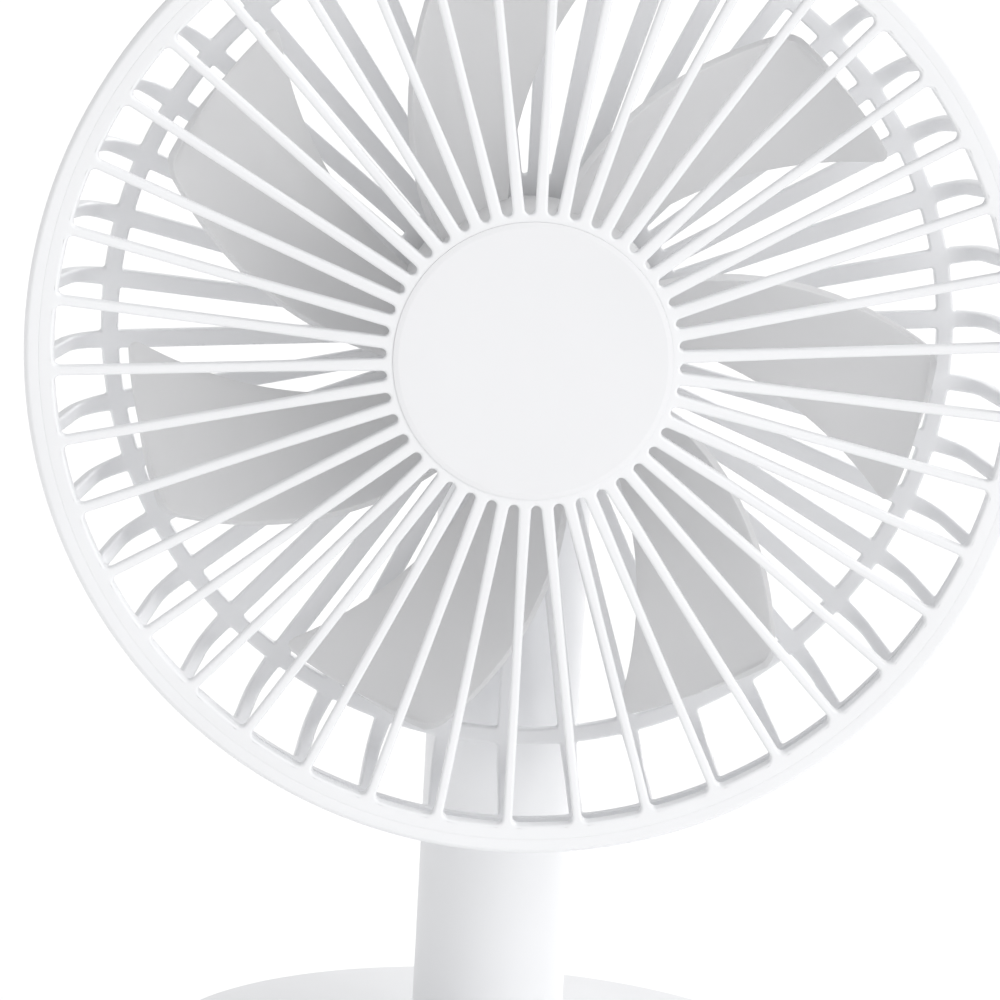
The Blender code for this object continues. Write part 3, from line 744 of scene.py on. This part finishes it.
def make_tilt_bracket(mats):
    """Round cover on the guard's back, with the tongue that the post's ears hold."""
    front, back, edge = depth(39.9), depth(43.5), 23.8
    dome = [(0, front), (edge, front), (edge, depth(41.2)), (edge - 3.0, back), (0, back)]
    bm = bmesh.new()
    add_lathe(bm, rounded(dome, (0, 0.2, 1.5, 2.0, 0), 6), 128)
    bracket = finish_mesh("tilt_bracket_fine", bm, mats["white"], "head", HEAD,
                          ["tilt_bracket"])
    tongue_round, root = 6.6, depth(42.0)
    outline = [(root, tongue_round)] + [polar(tongue_round, degrees) for degrees in range(90, 271, 6)]
    outline += [(root, -tongue_round)]
    side_on = Matrix(((0, 0, 1, 0), (0, 1, 0, 0), (1, 0, 0, 0), (0, 0, 0, 1)))
    bm = bmesh.new()
    add_prism(bm, outline, -TONGUE_HALF_WIDTH, TONGUE_HALF_WIDTH, side_on)
    combine(bracket, "UNION", tool(bm, place=HEAD))
    bm = bmesh.new()
    add_lathe(bm, rod(PIN_HOLE, -8, 8), 48, turn=Matrix.Rotation(math.pi / 2, 4, "Y"))
    add_lathes(bm, counterbore(2.7, depth(45), depth(41.6), depth(39)), 40, BRACKET_SCREWS, BRACKET_ANGLES)
    combine(bracket, "DIFFERENCE", tool(bm, place=HEAD))
    soften(bracket, 0.4)


def make_base_shell(mats):
    """Cover with a collar for the post's foot, screw bosses, and holes for button, lens and socket."""
    wall, skirt, bore, collar, collar_end = 2.4, 1.2, 11.8, 15.5, 17.0
    top, inside = BASE_HIGH.z, BASE_RADIUS - wall
    under = top - wall
    profile = [(BASE_RADIUS, skirt), (BASE_RADIUS, top), (bore, top), (bore, collar_end),
               (collar, collar_end), (collar, under), (BASE_RADIUS - 5.2, under), (inside, under - 2.6),
               (inside, skirt)]
    bm = bmesh.new()
    add_lathe(bm, rounded(profile, (0.6, 1.5, 0.4, 0.2, 0.2, 0.5, 1.0, 1.0, 0.2), 7), 210)
    shell = finish_mesh("base_shell_fine", bm, mats["white"], "base", UPRIGHT,
                        ["base_shell"])
    boss_radius, boss_end = 3.2, 4.2
    bm = bmesh.new()
    add_lathes(bm, rod(boss_radius, boss_end, under + 1), 40, BASE_SCREWS, BASE_ANGLES)
    combine(shell, "UNION", tool(bm))
    button_hole, chamfer, lens_hole, hole_start = 7.4, 0.35, 1.6, 19
    button = [(0, hole_start), (button_hole, hole_start), (button_hole, top - chamfer),
              (button_hole + chamfer, top + 0.02), (button_hole + chamfer, top + 1), (0, top + 1)]
    screw_hole = rod(SCREW_HOLE, 3, 15)
    bm = bmesh.new()
    add_lathes(bm, screw_hole, 32, BASE_SCREWS, BASE_ANGLES)
    add_lathe(bm, button, 72, (0, BUTTON_Y))
    add_lathe(bm, rod(lens_hole, hole_start, top + 1), 32, (0, LENS_Y))
    half_width, half_height, middle = 5.2, 2.1, (SOCKET_LOW.z + SOCKET_HIGH.z) / 2
    outside, within = -BASE_RADIUS - 4, -52
    window = [(-half_width, middle - half_height), (half_width, middle - half_height),
              (half_width, middle + half_height), (-half_width, middle + half_height)]
    add_prism(bm, rounded(window, 1.9, 8), outside, within, Matrix.Rotation(math.pi / 2, 4, "X"))
    combine(shell, "DIFFERENCE", tool(bm))
    smooth(shell, 35)


def make_underside(mats):
    """Bottom plate with a groove for the foot ring and bores for the screws, and the foot ring."""
    low, high = size_mm("bottom_plate")
    groove_in, groove_out, groove_floor = 43.7, 52.3, 1.9
    plate = [(0, low.z), (groove_in, low.z), (groove_in, groove_floor), (groove_out, groove_floor),
             (groove_out, low.z), (high.x, low.z), (high.x, high.z), (0, high.z)]
    bm = bmesh.new()
    add_lathe(bm, rounded(plate, (0, 0.15, 0.1, 0.1, 0.15, 0.3, 0.1, 0), 3), 160)
    bottom = finish_mesh("bottom_plate_fine", bm, mats["white"], "base", UPRIGHT,
                         ["bottom_plate"])
    bm = bmesh.new()
    add_lathes(bm, counterbore(2.9, 0, 2.4, 5), 32, BASE_SCREWS, BASE_ANGLES)
    combine(bottom, "DIFFERENCE", tool(bm))
    smooth(bottom, 35)

    foot_in, foot_out, foot_height = 44.0, 52.0, 1.6
    foot = [(foot_in, 0.0), (foot_out, 0.0), (foot_out, foot_height), (foot_in, foot_height)]
    bm = bmesh.new()
    add_lathe(bm, rounded(foot, (0.35, 0.35, 0.1, 0.1), 4), 160)
    finish_mesh("foot_ring_fine", bm, mats["rubber"], "base", UPRIGHT, ["foot_ring"])


def make_button(mats):
    """Push cap with a dished face, a collar that keeps it in, and a groove that seats its spring."""
    low, high = BUTTON_LOW.z, BUTTON_HIGH.z
    stem, face, collar, collar_low, collar_high = 1.5, 7.0, 8.4, 20.0, 21.2
    groove_in, groove_out, groove_top = 4.4, 6.0, 20.7
    cap = [(0, low), (stem, low), (stem, collar_low), (groove_in, collar_low), (groove_in, groove_top),
           (groove_out, groove_top), (groove_out, collar_low), (collar, collar_low), (collar, collar_high),
           (face, collar_high), (face, high), (0, high - 0.25)]
    bm = bmesh.new()
    add_lathe(bm, rounded(cap, (0, 0.1, 0.1, 0, 0, 0, 0, 0.2, 0.2, 0.2, 0.5, 0), 4), 96, (0, BUTTON_Y))
    finish_mesh("power_button_fine", bm, mats["button"], "button", UPRIGHT,
                ["power_button"])


def make_screw(name, mats, body, place, spot, head_radius, tip, seat, top):
    """Cross-recessed screw along z: its head from seat to top, its shank from seat to tip."""
    shank, point = 1.2, 0.4
    profile = [(0, top), (head_radius, top), (head_radius, seat), (shank, seat), (shank, tip - 0.8),
               (point, tip), (0, tip)]
    bm = bmesh.new()
    add_lathe(bm, rounded(profile, (0, 0.4, 0.1, 0.1, 0.1, 0, 0), 4), 48, spot)
    screw = finish_mesh(f"{name}_fine", bm, mats["steel"], body, place, [name])
    half, arm = 0.32, 1.35
    cross = [(-half, -arm), (half, -arm), (half, -half), (arm, -half), (arm, half), (half, half),
             (half, arm), (-half, arm), (-half, half), (-arm, half), (-arm, -half), (-half, -half)]
    bm = bmesh.new()
    add_prism(bm, [(x + spot[0], y + spot[1]) for x, y in cross], top - 0.3, top + 0.7)
    combine(screw, "DIFFERENCE", tool(bm, place=place))
    smooth(screw, 35)


def make_screws(mats):
    """The screws behind the head and under the base; they enter from their head's side."""
    for number, degrees in enumerate(BRACKET_ANGLES, 1):
        make_screw(f"bracket_screw_{number}", mats, "head", HEAD, polar(BRACKET_SCREWS, degrees),
                   head_radius=2.4, tip=depth(37.5), seat=depth(41.9), top=depth(43.2))
    for number, degrees in enumerate(BASE_ANGLES, 1):
        make_screw(f"base_screw_{number}", mats, "base", UPRIGHT, polar(BASE_SCREWS, degrees),
                   head_radius=2.6, tip=12.0, seat=2.1, top=1.0)


def dress_cad_nodes(mats):
    """Materials of the CAD pieces that stay as they are."""
    looks = {
        "steel": ["rotor_cup", "motor_shaft", "shaft_clip", "bearing_front", "bearing_rear", "pivot_pin",
                  "pivot_nut", "swivel_washer", "ballast_ring", "button_spring", "usb_socket"],
        "laminate": ["stator_core"],
        "magnet": ["rotor_magnet"],
        "board": ["motor_board", "control_board", "button_board"],
        "black": ["post_foot", "thrust_washer", "tilt_washer_left", "tilt_washer_right", "tact_switch"],
        "white": ["motor_bracket"],
        "wrap": ["battery"],
        "lens": ["indicator_lens"],
    }
    for name in nodes:
        if name.startswith("motor_screw"):
            looks["steel"].append(name)
        if name.startswith("coil_"):
            looks.setdefault("copper", []).append(name)
    for look, names in looks.items():
        for name in names:
            nodes[name].data.materials.clear()
            nodes[name].data.materials.append(mats[look])


def main():
    make_camera()
    make_studio()
    mats = make_materials()
    make_front_grille(mats)
    make_front_cap(mats)
    make_guard_ring(mats)
    make_rear_grille(mats)
    make_impeller(mats)
    make_post(mats)
    make_tilt_bracket(mats)
    make_base_shell(mats)
    make_underside(mats)
    make_button(mats)
    make_screws(mats)
    dress_cad_nodes(mats)


main()
